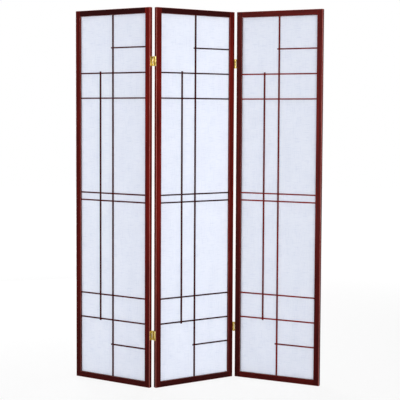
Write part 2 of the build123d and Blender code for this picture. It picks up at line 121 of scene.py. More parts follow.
class Sketch:
    """Adds nodes to one tree and joins them."""

    COLOUR_SOCKETS = (0, 6, 7, 2)
    VECTOR_SOCKETS = (0, 4, 5, 1)

    def __init__(self, tree: bpy.types.NodeTree) -> None:
        """Keeps the shader or geometry tree that gets the nodes."""
        self.tree = tree

    def node(self, kind: str, **settings: object) -> bpy.types.Node:
        """Adds one node.

        Args:
            kind: its type's name.
            settings: its own settings by name.

        Returns:
            The new node.
        """
        made = self.tree.nodes.new(kind)
        for name, value in settings.items():
            setattr(made, name, value)
        return made

    def put(self, socket: Socket, value: Value) -> None:
        """Joins a socket where value is one, and else writes the value on the socket.

        Args:
            socket: the input that takes the value.
            value: a socket, a number or several numbers.
        """
        if isinstance(value, bpy.types.NodeSocket):
            self.tree.links.new(value, socket)
        else:
            socket.default_value = value

    def fill(self, made: bpy.types.Node, *values: Value) -> bpy.types.NodeOutputs:
        """Fills a node's first inputs.

        Args:
            made: the node.
            values: its inputs in order.

        Returns:
            The node's outputs.
        """
        for socket, value in zip(made.inputs, values):
            self.put(socket, value)
        return made.outputs

    def wire(self, made: bpy.types.Node, **inputs: Value) -> bpy.types.NodeOutputs:
        """Fills a node's inputs by name.

        Args:
            made: the node.
            inputs: its inputs, with _ for each space of a name.

        Returns:
            The node's outputs.
        """
        for name, value in inputs.items():
            self.put(made.inputs[name.replace("_", " ")], value)
        return made.outputs

    def math(self, operation: str, *values: Value, clamp: bool = False) -> Socket:
        """One sum, kept between 0 and 1 where clamp is set."""
        made = self.node("ShaderNodeMath", operation=operation, use_clamp=clamp)
        return self.fill(made, *values)[0]

    def weighed(self, start: Value, *parts: tuple[Socket, float], clamp: bool = False) -> Socket:
        """Adds up sockets, each times its own weight.

        Args:
            start: what they are added to.
            parts: the sockets with their weights.
            clamp: whether the result is kept between 0 and 1.

        Returns:
            The total's socket.
        """
        total = start
        for count, (socket, weight) in enumerate(parts, 1):
            last = count == len(parts)
            total = self.math("MULTIPLY_ADD", socket, weight, total, clamp=clamp and last)
        return total

    def vector(self, operation: str, *values: Value) -> bpy.types.NodeOutputs:
        """One vector sum, with its outputs Vector and Value."""
        return self.fill(self.node("ShaderNodeVectorMath", operation=operation), *values)

    def split(self, vector: Socket) -> tuple[Socket, Socket, Socket]:
        """The three parts of a vector."""
        return tuple(self.fill(self.node("ShaderNodeSeparateXYZ"), vector))

    def join(self, x: Value, y: Value, z: Value) -> Socket:
        """A vector of three parts."""
        return self.fill(self.node("ShaderNodeCombineXYZ"), x, y, z)[0]

    def turned(self, vector: Socket, turn: Euler, kind: str = "POINT", **more: Value) -> Socket:
        """A POINT or VECTOR turned, and a point moved where more gives its Location."""
        made = self.node("ShaderNodeMapping", vector_type=kind)
        return self.wire(made, Vector=vector, Rotation=turn, **more)[0]

    def spread(self, value: Value, low: Value, high: Value, to: Span = (0, 1)) -> Socket:
        """A value moved smoothly from the range of low and high to another range."""
        made = self.node("ShaderNodeMapRange", interpolation_type="SMOOTHSTEP")
        return self.fill(made, value, low, high, *to)[0]

    def noise(self, vector: Socket, scale: Value, detail: float, wander: float = 0.0) -> Socket:
        """Cloudy noise from 0 to 1, with scale clouds in a unit, finer layers and a twist."""
        made = self.node("ShaderNodeTexNoise")
        return self.wire(made, Vector=vector, Scale=scale, Detail=detail, Distortion=wander)["Fac"]

    def marks(self, vector: Socket, mark: Mark, length: Socket | None = None) -> Socket:
        """Marks, 1 on them and 0 between, which have a length where a group's input gives it."""
        scale = mark.scale if length is None else self.math("DIVIDE", 1.0, length)
        return self.spread(self.noise(vector, scale, mark.detail, mark.wander), *mark.span)

    def bump(self, height: Socket, relief: float, strength: float = 1.0) -> Socket:
        """The normal of a surface that rises by height times relief."""
        made = self.node("ShaderNodeBump")
        return self.wire(made, Height=height, Distance=relief, Strength=strength)["Normal"]

    def blend(self, share: Value, first: Value, second: Value) -> Socket:
        """A colour between two: the first at share 0 and the second at share 1."""
        return self._mix("RGBA", self.COLOUR_SOCKETS, share, first, second)

    def choose(self, share: Value, first: Value, second: Value) -> Socket:
        """A vector between two: the first at share 0 and the second at share 1."""
        return self._mix("VECTOR", self.VECTOR_SOCKETS, share, first, second)

    def _mix(self, kind: str, places: tuple[int, ...], *values: Value) -> Socket:
        """Adds a Mix node.

        Args:
            kind: what it mixes.
            places: which of its inputs take the values, and then its output.
            values: its share, first and second.

        Returns:
            The mixture's socket.
        """
        made = self.node("ShaderNodeMix", data_type=kind)
        for place, value in zip(places, values):
            self.put(made.inputs[place], value)
        return made.outputs[places[-1]]

    def mix_shaders(self, share: Value, first: Socket, second: Socket) -> Socket:
        """A shader between two: the first at share 0 and the second at share 1."""
        return self.fill(self.node("ShaderNodeMixShader"), share, first, second)[0]

    def group(self, tree: bpy.types.NodeTree, **inputs: Value) -> bpy.types.NodeOutputs:
        """The outputs of a node group placed with these inputs."""
        return self.wire(self.node("ShaderNodeGroup", node_tree=tree), **inputs)


def new_group(
    name: str, kind: str, inputs: dict[str, str], outputs: dict[str, str]
) -> tuple[Sketch, dict[str, Socket], dict[str, Socket]]:
    """Starts a node group with named inputs and outputs.

    Args:
        name: the group's name.
        kind: the tree's type.
        inputs: each input's name and socket type, without NodeSocket.
        outputs: the same for each output.

    Returns:
        The group's sketch, its inputs' sockets and its outputs' sockets, by name.
    """
    tree = bpy.data.node_groups.new(name, kind)
    for side, sockets in (("INPUT", inputs), ("OUTPUT", outputs)):
        for label, socket_type in sockets.items():
            tree.interface.new_socket(
                name=label, in_out=side, socket_type=f"NodeSocket{socket_type}"
            )
    sketch = Sketch(tree)
    given = sketch.node("NodeGroupInput")
    result = sketch.node("NodeGroupOutput")
    return (
        sketch,
        {label: given.outputs[label] for label in inputs},
        {label: result.inputs[label] for label in outputs},
    )


class Effects:
    """The shader groups that several finishes share, each built once."""

    # Wood grain. The lengths are in streak widths, and a squeeze shortens a mark along the grain.
    FIGURE = Mark((0.30, 0.70), detail=2.0, wander=0.9, scale=0.16)
    FIGURE_SQUEEZE = 1.6
    STREAKS = Mark((0.33, 0.67), detail=4.0, wander=0.35)
    PORES = Mark((0.58, 0.72), detail=2.0, scale=3.4)
    PORE_SQUEEZE = 5.0

    # Rounded edges. A face is flat where a part of its normal is over the first of the span.
    EDGE_SPAN = (0.998, 0.90)
    WORN_PATCHES = Mark((0.30, 0.62), detail=3.0)

    # Plain weave.
    UNEVEN_SCALE = 260.0
    UNEVEN_TURN = 2.4
    THREAD_HEIGHT = 0.35
    SLUBS = Mark((0.52, 0.78), detail=2.0)
    SLUB_THINNESS = 24.0
    CROSS_SLUB_SHARE = 0.6
    CROSS_SLUB_SLICE = 3.0
    CLOUDS = Mark((0.30, 0.70), detail=3.0, wander=0.4, scale=14.0)

    # Handling marks. A scratch is drawn out along Z.
    DULL_PATCHES = Mark((0.38, 0.66), detail=4.0, wander=0.5)
    SCRATCHES = Mark((0.60, 0.72), detail=1.0)
    SCRATCH_SQUEEZE = 0.04

    def __init__(self) -> None:
        """Builds the groups."""
        self.grain = self._grain()
        self.rounding = self._rounding()
        self.weave = self._weave()
        self.handling = self._handling()

    def _grain(self) -> bpy.types.NodeTree:
        """Draws wood grain along Z: broad figure, fine streaks and short pores.

        Returns:
            The group's tree.
        """
        sketch, given, result = new_group(
            "wood_grain",
            "ShaderNodeTree",
            {"Vector": "Vector", "Streak Width": "Float", "Stretch": "Float"},
            {"Figure": "Float", "Streaks": "Float", "Pores": "Float"},
        )
        across = sketch.math("DIVIDE", 1.0, given["Streak Width"])
        along = sketch.math("DIVIDE", across, given["Stretch"])
        sizes = sketch.join(across, across, along)
        place = sketch.vector("MULTIPLY", given["Vector"], sizes)["Vector"]
        x, y, z = sketch.split(place)
        figure = sketch.join(x, y, sketch.math("MULTIPLY", z, self.FIGURE_SQUEEZE))
        pores = sketch.join(x, y, sketch.math("MULTIPLY", z, self.PORE_SQUEEZE))
        sketch.put(result["Figure"], sketch.marks(figure, self.FIGURE))
        sketch.put(result["Streaks"], sketch.marks(place, self.STREAKS))
        sketch.put(result["Pores"], sketch.marks(pores, self.PORES))
        return sketch.tree

    def _rounding(self) -> bpy.types.NodeTree:
        """Finds the rounded and chamfered edges of a squared member, from its own normal.

        Returns:
            The group's tree.
        """
        sketch, given, result = new_group(
            "rounded_edges",
            "ShaderNodeTree",
            {"Normal": "Vector", "Vector": "Vector", "Patch Size": "Float", "Patchiness": "Float"},
            {"Edge": "Float"},
        )
        x, y, z = sketch.split(sketch.vector("ABSOLUTE", given["Normal"])["Vector"])
        facing = sketch.math("MAXIMUM", sketch.math("MAXIMUM", x, y), z)
        edge = sketch.spread(facing, *self.EDGE_SPAN)
        kept = sketch.marks(given["Vector"], self.WORN_PATCHES, given["Patch Size"])
        lost = sketch.math("MULTIPLY", given["Patchiness"], sketch.math("SUBTRACT", 1.0, kept))
        # The share of an edge kept between patches; the edge colour it gates is partly a painted
        # highlight.
        wear_and_highlight = sketch.math("SUBTRACT", 1.0, lost)
        sketch.put(result["Edge"], sketch.math("MULTIPLY", edge, wear_and_highlight, clamp=True))
        return sketch.tree

    def _weave(self) -> bpy.types.NodeTree:
        """Draws a plain weave with uneven threads and slubs, on a flat map in metres.

        Returns:
            The group's tree.
        """
        sketch, given, result = new_group(
            "plain_weave",
            "ShaderNodeTree",
            {"Vector": "Vector", "Thread Pitch": "Float", "Slub Length": "Float"},
            {"Height": "Float", "Threads": "Float", "Slubs": "Float", "Clouds": "Float"},
        )
        u, v, _ = sketch.split(given["Vector"])
        turns = sketch.math("DIVIDE", math.pi, given["Thread Pitch"])
        uneven = sketch.noise(given["Vector"], self.UNEVEN_SCALE, 1.0)
        wobble = sketch.math("MULTIPLY", uneven, self.UNEVEN_TURN)
        waves = [sketch.math("SINE", sketch.weighed(wobble, (part, turns))) for part in (u, v)]
        crossing = sketch.math("MULTIPLY", *waves)
        lengthwise = sketch.join(u, sketch.math("MULTIPLY", v, self.SLUB_THINNESS), 0.0)
        crosswise = sketch.join(
            sketch.math("MULTIPLY", u, self.SLUB_THINNESS), v, self.CROSS_SLUB_SLICE
        )
        first, second = (
            sketch.marks(strand, self.SLUBS, given["Slub Length"])
            for strand in (lengthwise, crosswise)
        )
        slub = sketch.weighed(first, (second, self.CROSS_SLUB_SHARE), clamp=True)
        sketch.put(result["Height"], sketch.weighed(slub, (crossing, self.THREAD_HEIGHT)))
        sketch.put(result["Threads"], sketch.weighed(0.5, (crossing, 0.5)))
        sketch.put(result["Slubs"], slub)
        sketch.put(result["Clouds"], sketch.marks(given["Vector"], self.CLOUDS))
        return sketch.tree

    def _handling(self) -> bpy.types.NodeTree:
        """Draws what hands and years leave: dull patches and fine scratches.

        Returns:
            The group's tree.
        """
        sketch, given, result = new_group(
            "handling_marks",
            "ShaderNodeTree",
            {"Vector": "Vector", "Patch Size": "Float", "Scratch Spacing": "Float"},
            {"Dullness": "Float", "Scratches": "Float"},
        )
        dull = sketch.marks(given["Vector"], self.DULL_PATCHES, given["Patch Size"])
        x, y, z = sketch.split(given["Vector"])
        drawn_out = sketch.join(x, y, sketch.math("MULTIPLY", z, self.SCRATCH_SQUEEZE))
        scratches = sketch.marks(drawn_out, self.SCRATCHES, given["Scratch Spacing"])
        sketch.put(result["Dullness"], dull)
        sketch.put(result["Scratches"], scratches)
        return sketch.tree


# Finishes


class Grain(Enum):
    """Which way a member's grain runs."""

    UPRIGHT = "upright"
    ACROSS = "across"
    BORDER = "border"


@dataclass(frozen=True)
class PanelFrame:
    """How one panel stands in the shared frame.

    Args:
        side: left, middle or right.
        along: the direction from its left to its right.
        back: the direction from its front to its back.
    """

    side: str
    along: Vector
    back: Vector

    @classmethod
    def read(cls, side: str) -> "PanelFrame":
        """Finds a panel's directions from its cloth.

        Args:
            side: left, middle or right.

        Returns:
            The panel's frame.
        """
        ground = node_points(f"{side}_panel_fabric")[:, :2]
        along = np.linalg.svd(ground - ground.mean(axis=0), full_matrices=False)[2][0]
        along *= math.copysign(1.0, along[0])
        return cls(side, Vector((along[0], along[1], 0)), Vector((-along[1], along[0], 0)))

    @property
    def turn(self) -> float:
        """The angle from the frame's X to the panel's own, in radians."""
        return math.atan2(self.along.y, self.along.x)

    @property
    def axes(self) -> np.ndarray:
        """The panel's own directions, one row each."""
        return np.array([self.along, self.back, Vector((0, 0, 1))])

    def local(self, points: np.ndarray) -> np.ndarray:
        """Points of the shared frame, in the panel's own directions."""
        return points @ self.axes.T

    def shared(self, points: np.ndarray) -> np.ndarray:
        """Points in the panel's own directions, in the shared frame."""
        return points @ self.axes

    def box(self, member: str) -> tuple[np.ndarray, np.ndarray]:
        """A member's lowest and highest corner in the panel's own directions."""
        points = self.local(node_points(f"{self.side}_panel_{member}"))
        return points.min(axis=0), points.max(axis=0)

    def grain_turn(self, grain: Grain) -> Euler:
        """Finds the turn that lays a member's length along Z.

        Args:
            grain: which way the member's grain runs.

        Returns:
            The turn of a Mapping node.
        """
        squared = Matrix.Rotation(-self.turn, 3, "Z")
        if grain is Grain.ACROSS:
            squared = Matrix.Rotation(-math.pi / 2, 3, "Y") @ squared
        return squared.to_euler("XYZ")


def principled(name: str) -> tuple[bpy.types.Material, Sketch, bpy.types.Node]:
    """Starts a material.

    Args:
        name: the material's name.

    Returns:
        The material, a sketch of its tree and its Principled node.
    """
    made = bpy.data.materials.new(name)
    made.use_nodes = True
    return made, Sketch(made.node_tree), made.node_tree.nodes["Principled BSDF"]


@dataclass(frozen=True)
class StainedWood:
    """Red-stained hardwood under a thin semi-gloss lacquer.

    Args:
        dark: the stain where the wood took most of it.
        light: the stain where it took least.
        wear_and_highlight: the colour of its rounded edges, partly real wear and partly a painted
            highlight.
        streak_width: how wide a fine streak is.
        stretch: how many times as long as wide a streak is.
        figure_share: how much the broad figure lightens the stain.
        streak_share: how much the fine streaks lighten it.
        ground_share: how light it is without either.
        pore_share: how much a pore darkens it.
        painted_floor_shade: how much of an upright board's tone is left at the floor, under a
            painted shade that darkens it downwards.
        painted_shade_reach: the height up to which that painted shade darkens it towards the floor.
        edge_wear_and_highlight: how much of that worn and highlighted colour the edges have.
        edge_patchiness: how much of that is missing between patches.
        edge_patch: the size of such a patch.
        roughness: the roughness of the smoothest and of the dullest spots.
        pore_dullness: how much of that a pore takes.
        patch_dullness: how much of it a dull patch takes.
        dull_patch: the size of a dull patch.
        scratch_spacing: the distance between scratches.
        relief: the height of a streak.
        relief_strength: how much of it shows.
        pore_depth: how deep a pore is, in heights of a streak.
        shine: the wood's own shine.
        lacquer: how much lacquer shows on flat faces and on rounded edges.
        lacquer_roughness: the lacquer's roughness.
        bead_width: how wide a bead is.
    """

    dark: Colour = tint(38, 3, 3)
    light: Colour = tint(146, 30, 20)
    # The rounded edges' light colour is partly real wear and partly a painted highlight.
    wear_and_highlight: Colour = tint(212, 122, 110)
    streak_width: float = 0.0016
    stretch: float = 60.0
    figure_share: float = 0.85
    streak_share: float = 0.65
    ground_share: float = 0.25
    pore_share: float = 0.35
    # Painted shade: upright boards darken towards the floor.
    painted_floor_shade: float = 0.35
    painted_shade_reach: float = 1.15
    edge_wear_and_highlight: float = 0.85
    edge_patchiness: float = 0.25
    edge_patch: float = 0.05
    roughness: Span = (0.34, 0.50)
    pore_dullness: float = 0.4
    patch_dullness: float = 0.6
    dull_patch: float = 0.11
    scratch_spacing: float = 0.0009
    relief: float = 0.00004
    relief_strength: float = 0.6
    pore_depth: float = 1.4
    shine: float = 0.025
    lacquer: Span = (0.07, 0.75)
    lacquer_roughness: float = 0.20
    bead_width: float = 0.0066

    # A board's place in the grain comes from its name, whose letters count by their number.
    BOARD_SPREAD = 9.0
    FIRST_LETTER = 7

    def material(
        self, effects: Effects, place: PanelFrame, grain: Grain, name: str, board_and_light_tone: float
    ) -> bpy.types.Material:
        """Builds the finish for one piece.

        Args:
            effects: the shared shader groups.
            place: how the piece's panel stands.
            grain: which way its grain runs.
            name: the material's name.
            board_and_light_tone: how light this piece comes out, from 0 for dark to 1 for light;
                partly the board's own tone, partly painted light and shade.

        Returns:
            The material.
        """
        made, sketch, shader = principled(name)
        spot = sketch.node("ShaderNodeTexCoord").outputs
        vector = self._lengthwise(sketch, spot["Object"], place, grain, name)
        marks = sketch.group(
            effects.grain, Vector=vector, Streak_Width=self.streak_width, Stretch=self.stretch
        )
        handled = sketch.group(
            effects.handling,
            Vector=vector,
            Patch_Size=self.dull_patch,
            Scratch_Spacing=self.scratch_spacing,
        )
        edge = sketch.group(
            effects.rounding,
            Normal=sketch.turned(spot["Normal"], place.grain_turn(Grain.UPRIGHT), kind="VECTOR"),
            Vector=vector,
            Patch_Size=self.edge_patch,
            Patchiness=self.edge_patchiness,
        )["Edge"]
        stain = self._stain(sketch, marks, self._shade_towards_floor(sketch, spot["Object"], grain, board_and_light_tone))
        # The rounded edges get a lighter colour, partly wear and partly a painted highlight.
        wear_and_highlight = sketch.blend(sketch.math("MULTIPLY", edge, self.edge_wear_and_highlight), stain, self.wear_and_highlight)
        rough = sketch.weighed(
            0.0, (marks["Pores"], self.pore_dullness), (handled["Dullness"], self.patch_dullness)
        )
        height = sketch.weighed(marks["Streaks"], (marks["Pores"], -self.pore_depth))
        sketch.wire(
            shader,
            Base_Color=wear_and_highlight,
            Roughness=sketch.spread(rough, 0.0, 1.0, self.roughness),
            Specular_IOR_Level=self.shine,
            Normal=sketch.bump(height, self.relief, self.relief_strength),
            Coat_Weight=sketch.spread(edge, 0.0, 1.0, self.lacquer),
            Coat_Roughness=self.lacquer_roughness,
        )
        return made

    def _stain(self, sketch: Sketch, marks: bpy.types.NodeOutputs, board_and_light_tone: Value) -> Socket:
        """Mixes the stain's colour.

        Args:
            sketch: the material's sketch.
            marks: the outputs of its grain.
            board_and_light_tone: how light the board is, with its painted light and shade.

        Returns:
            The colour's socket.
        """
        depth = sketch.weighed(
            self.ground_share,
            (marks["Figure"], self.figure_share),
            (marks["Streaks"], self.streak_share),
        )
        share = sketch.math("MULTIPLY", depth, board_and_light_tone, clamp=True)
        stain = sketch.blend(share, self.dark, self.light)
        return sketch.blend(
            sketch.math("MULTIPLY", marks["Pores"], self.pore_share), stain, self.dark
        )

    def _shade_towards_floor(self, sketch: Sketch, point: Socket, grain: Grain, board_and_light_tone: float) -> Value:
        """Paints shade on an upright board, darker towards the floor.

        Args:
            sketch: the material's sketch.
            point: the Object coordinates.
            grain: which way the board's grain runs.
            board_and_light_tone: how light the board came out, partly painted light and shade.

        Returns:
            Its tone, with the painted shade darker towards the floor on an upright board.
        """
        if grain is not Grain.UPRIGHT or self.painted_floor_shade == 1.0:
            return board_and_light_tone
        # Painted shade: the tone of an upright board falls towards the floor.
        height = sketch.split(point)[2]
        return sketch.spread(height, 0.0, self.painted_shade_reach, (self.painted_floor_shade * board_and_light_tone, board_and_light_tone))

    def _lengthwise(
        self, sketch: Sketch, point: Socket, place: PanelFrame, grain: Grain, name: str
    ) -> Socket:
        """Lays a piece's length along Z, and moves it so that no two boards match.

        Args:
            sketch: the material's sketch.
            point: the Object coordinates.
            place: how the piece's panel stands.
            grain: which way the piece's grain runs.
            name: the material's name, which fixes the move.

        Returns:
            The socket of the moved coordinates.
        """
        seed = sum(ord(letter) * n for n, letter in enumerate(name, self.FIRST_LETTER))
        shift = tuple(np.random.default_rng(seed).uniform(0.0, self.BOARD_SPREAD, 3))
        if grain is not Grain.BORDER:
            return sketch.turned(point, place.grain_turn(grain), Location=shift)
        upright, across = (
            sketch.turned(point, place.grain_turn(way), Location=shift)
            for way in (Grain.UPRIGHT, Grain.ACROSS)
        )
        low, high = place.box("retaining_beads")
        x = sketch.split(sketch.turned(point, place.grain_turn(Grain.UPRIGHT)))[0]
        off_centre = sketch.math(
            "ABSOLUTE", sketch.math("SUBTRACT", x, float(low[0] + high[0]) / 2)
        )
        beside = float(high[0] - low[0]) / 2 - self.bead_width
        return sketch.choose(sketch.math("GREATER_THAN", off_centre, beside), across, upright)


FRAME_WOOD = StainedWood()
BAR_WOOD = StainedWood(streak_width=0.0009, stretch=70.0, edge_wear_and_highlight=0.12, painted_floor_shade=1.0)


@dataclass(frozen=True)
class Brass:
    """Rolled brass, bright where it is handled and dull in patches.

    Args:
        bright: its colour where it is bright.
        dull: its colour where it is dull.
        roughness: the roughness of the smoothest and of the dullest spots.
        patch_size: the size of a dull patch.
        scratch_spacing: the distance between scratches.
        scratch_dullness: how much a scratch roughens it.
        scratch_relief: how far a scratch stands out.
    """

    bright: Colour = tint(224, 204, 126)
    dull: Colour = tint(152, 128, 62)
    roughness: Span = (0.20, 0.46)
    patch_size: float = 0.012
    scratch_spacing: float = 0.0005
    scratch_dullness: float = 0.3
    scratch_relief: float = 0.00001

    def material(self, effects: Effects, name: str) -> bpy.types.Material:
        """Builds the finish.

        Args:
            effects: the shared shader groups.
            name: the material's name.

        Returns:
            The material.
        """
        made, sketch, shader = principled(name)
        marks = sketch.group(
            effects.handling,
            Vector=sketch.node("ShaderNodeTexCoord").outputs["Object"],
            Patch_Size=self.patch_size,
            Scratch_Spacing=self.scratch_spacing,
        )
        dullness, scratches = marks["Dullness"], marks["Scratches"]
        rough = sketch.weighed(dullness, (scratches, self.scratch_dullness), clamp=True)
        sketch.wire(
            shader,
            Base_Color=sketch.blend(dullness, self.bright, self.dull),
            Metallic=1.0,
            Roughness=sketch.spread(rough, 0.0, 1.0, self.roughness),
            Normal=sketch.bump(scratches, self.scratch_relief),
        )
        return made


PLATE_BRASS = Brass()
PIN_BRASS = Brass(
    bright=tint(220, 198, 118), dull=tint(144, 120, 56), roughness=(0.16, 0.34)
)
SCREW_BRASS = Brass(
    bright=tint(212, 188, 110), dull=tint(136, 112, 56), roughness=(0.26, 0.5)
)


@dataclass(frozen=True)
class BareWood:
    """Pale unfinished hardwood, for the dowels inside the joints.

    Args:
        dark: its streaks.
        light: the wood between them.
        streak_width: how wide a streak is.
        stretch: how many times as long as wide a streak is.
        roughness: the roughness of the wood and of its pores.
    """

    dark: Colour = tint(176, 140, 96)
    light: Colour = tint(224, 196, 152)
    streak_width: float = 0.0008
    stretch: float = 20.0
    roughness: Span = (0.62, 0.85)

    def material(self, effects: Effects, place: PanelFrame, name: str) -> bpy.types.Material:
        """Builds the finish.

        Args:
            effects: the shared shader groups.
            place: how the piece's panel stands.
            name: the material's name.

        Returns:
            The material.
        """
        made, sketch, shader = principled(name)
        point = sketch.node("ShaderNodeTexCoord").outputs["Object"]
        marks = sketch.group(
            effects.grain,
            Vector=sketch.turned(point, place.grain_turn(Grain.ACROSS)),
            Streak_Width=self.streak_width,
            Stretch=self.stretch,
        )
        colour = sketch.blend(marks["Streaks"], self.dark, self.light)
        rough = sketch.spread(marks["Pores"], 0.0, 1.0, self.roughness)
        sketch.wire(shader, Base_Color=colour, Roughness=rough)
        return made


@dataclass(frozen=True)
class ScreenCloth:
    """Thin white cloth in a plain weave, through which some light passes.

    Args:
        pale: its colour where it is thin and even.
        shade: its colour where slubs and threads lie close.
        thread_pitch: the distance between threads.
        slub_length: how long a slub is.
        ground_share: how pale it is without any of the next three.
        cloud_share: how much broad clouds lighten it.
        thread_share: how much the threads lighten it.
        slub_share: how much a slub darkens it.
        see_through: how much of the light passes through.
        relief: the height of a slub.
        relief_strength: how much of it shows.
        roughness: the roughness between the threads and on them.
        shine: its shine.
    """

    pale: Colour = tint(240, 242, 247)
    shade: Colour = tint(222, 226, 236)
    thread_pitch: float = 0.0007
    slub_length: float = 0.045
    ground_share: float = 0.63
    cloud_share: float = 0.12
    thread_share: float = 0.25
    slub_share: float = 0.9
    see_through: float = 0.6
    relief: float = 0.00012
    relief_strength: float = 0.5
    roughness: Span = (0.72, 0.92)
    shine: float = 0.2

    def material(self, effects: Effects, name: str) -> bpy.types.Material:
        """Builds the finish.

        Args:
            effects: the shared shader groups.
            name: the material's name.

        Returns:
            The material.
        """
        made, sketch, shader = principled(name)
        weave = sketch.group(
            effects.weave,
            Vector=sketch.node("ShaderNodeUVMap", uv_map="weave").outputs[0],
            Thread_Pitch=self.thread_pitch,
            Slub_Length=self.slub_length,
        )
        share = sketch.weighed(
            self.ground_share,
            (weave["Clouds"], self.cloud_share),
            (weave["Threads"], self.thread_share),
            (weave["Slubs"], -self.slub_share),
            clamp=True,
        )
        colour = sketch.blend(share, self.shade, self.pale)
        rough = sketch.spread(weave["Threads"], 0.0, 1.0, self.roughness)
        relief = sketch.bump(weave["Height"], self.relief, self.relief_strength)
        sketch.wire(
            shader, Base_Color=colour, Roughness=rough, Specular_IOR_Level=self.shine, Normal=relief
        )
        through = sketch.wire(
            sketch.node("ShaderNodeBsdfTranslucent"), Color=colour, Normal=relief
        )
        both = sketch.mix_shaders(self.see_through, shader.outputs[0], through[0])
        sketch.wire(made.node_tree.nodes["Material Output"], Surface=both)
        return made


# The screen


@dataclass(frozen=True)
class Cloth:
    """One panel's cloth: a closed thin sheet, flat at its edges and a little slack between.

    Args:
        place: how its panel stands.
        seed: what makes this cloth's ripples differ from the others'.
        cell: the side of one cell of its mesh.
        slack: how far the loosest part stands back from flat.
        side_margin: how far in from a stile it is still held.
        end_margin: how far in from a rail it is still held.
        flutes: the widths of its ripples.
        lean: how far a flute may lean.
        lean_share: how much of that shows over its length.
        drift: how far a flute drifts sideways, in radians of its wave.
        drift_lengths: the least and greatest length of such a drift.
        drift_start: how far along itself a drift may start, in radians.
    """

    place: PanelFrame
    seed: int
    cell: float = 0.008
    slack: float = 0.0008
    side_margin: float = 0.05
    end_margin: float = 0.09
    flutes: tuple[float, ...] = (0.34, 0.21, 0.13, 0.085)
    lean: float = 0.35
    lean_share: float = 0.2
    drift: float = 0.25
    drift_lengths: Span = (0.5, 0.9)
    drift_start: float = 6.0

    MEMBERS = ("left_stile", "right_stile", "top_rail", "bottom_rail")

    def build(self, material: bpy.types.Material) -> bpy.types.Object:
        """Makes the sheet.

        Args:
            material: its finish.

        Returns:
            The finished piece, riding on its panel.
        """
        panel = f"{self.place.side}_panel"
        low, high = self.place.box("fabric")
        width, thickness, length = (float(size) for size in high - low)
        columns, rows = (max(2, round(size / self.cell)) + 1 for size in (width, length))
        u, v = np.meshgrid(np.linspace(0, 1, columns), np.linspace(0, 1, rows))
        flat = np.column_stack((u.ravel() * width, v.ravel() * length))
        ripple = self._ripple(*flat.T, width, length)
        front = np.column_stack((low[0] + flat[:, 0], low[1] + ripple, low[2] + flat[:, 1]))
        rear = front + np.array((0.0, thickness, 0.0))
        points = self.place.shared(np.vstack((front, rear)))
        mesh = bpy.data.meshes.new(f"{panel}_cloth")
        mesh.from_pydata(points.tolist(), [], self._faces(columns, rows))
        corners = np.zeros(len(mesh.loops), np.int32)
        mesh.loops.foreach_get("vertex_index", corners)
        flat_map = np.tile(flat, (2, 1))[corners].astype(np.float32)
        mesh.uv_layers.new(name="weave").data.foreach_set("uv", flat_map.ravel())
        mesh.polygons.foreach_set("use_smooth", [True] * len(mesh.polygons))
        mesh.materials.append(material)
        mesh.update()
        piece = add_object(mesh.name, mesh)
        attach(piece, panel)
        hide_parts(f"{panel}_fabric")
        return piece

    def _ripple(self, x: np.ndarray, z: np.ndarray, width: float, length: float) -> np.ndarray:
        """Finds how far each point stands back: nothing at the edges, soft flutes between.

        Args:
            x: the points' distances from the left edge.
            z: their distances from the bottom edge.
            width: the sheet's width.
            length: the sheet's length.

        Returns:
            One distance for each point.
        """
        draw = np.random.default_rng(self.seed)
        free = np.clip(np.minimum(x, width - x) / self.side_margin, 0, 1) * np.clip(
            np.minimum(z, length - z) / self.end_margin, 0, 1
        )
        free = free * free * (3 - 2 * free)
        total = np.zeros_like(x)
        for flute in self.flutes:
            lean = draw.uniform(-self.lean, self.lean)
            phase = draw.uniform(0, 2 * math.pi)
            drift_length = draw.uniform(*self.drift_lengths)
            start = draw.uniform(0, self.drift_start)
            drift = self.drift * np.sin(2 * math.pi * z / drift_length + start)
            leaning = x + lean * z * self.lean_share
            total += flute * np.sin(2 * math.pi * leaning / flute + phase + drift)
        total = (total - total.min()) / (total.max() - total.min())
        return self.slack * free * total

    @staticmethod
    def _faces(columns: int, rows: int) -> list[tuple[int, int, int, int]]:
        """Lists the faces of a closed sheet: its front, its back and its rim, all facing out.

        Args:
            columns: how many points it has across.
            rows: how many points it has upwards.

        Returns:
            The corners of each face.
        """
        count = columns * rows
        faces = []
        for row in range(rows - 1):
            for column in range(columns - 1):
                a = row * columns + column
                b, c, d = a + 1, a + columns + 1, a + columns
                faces.append((a, b, c, d))
                faces.append((a + count, d + count, c + count, b + count))
        rim = list(range(columns))
        rim += [row * columns + columns - 1 for row in range(1, rows)]
        rim += list(range(count - 2, count - columns - 1, -1))
        rim += [row * columns for row in range(rows - 2, 0, -1)]
        for a, b in zip(rim, rim[1:] + rim[:1]):
            faces.append((b, a, a + count, b + count))
        return faces


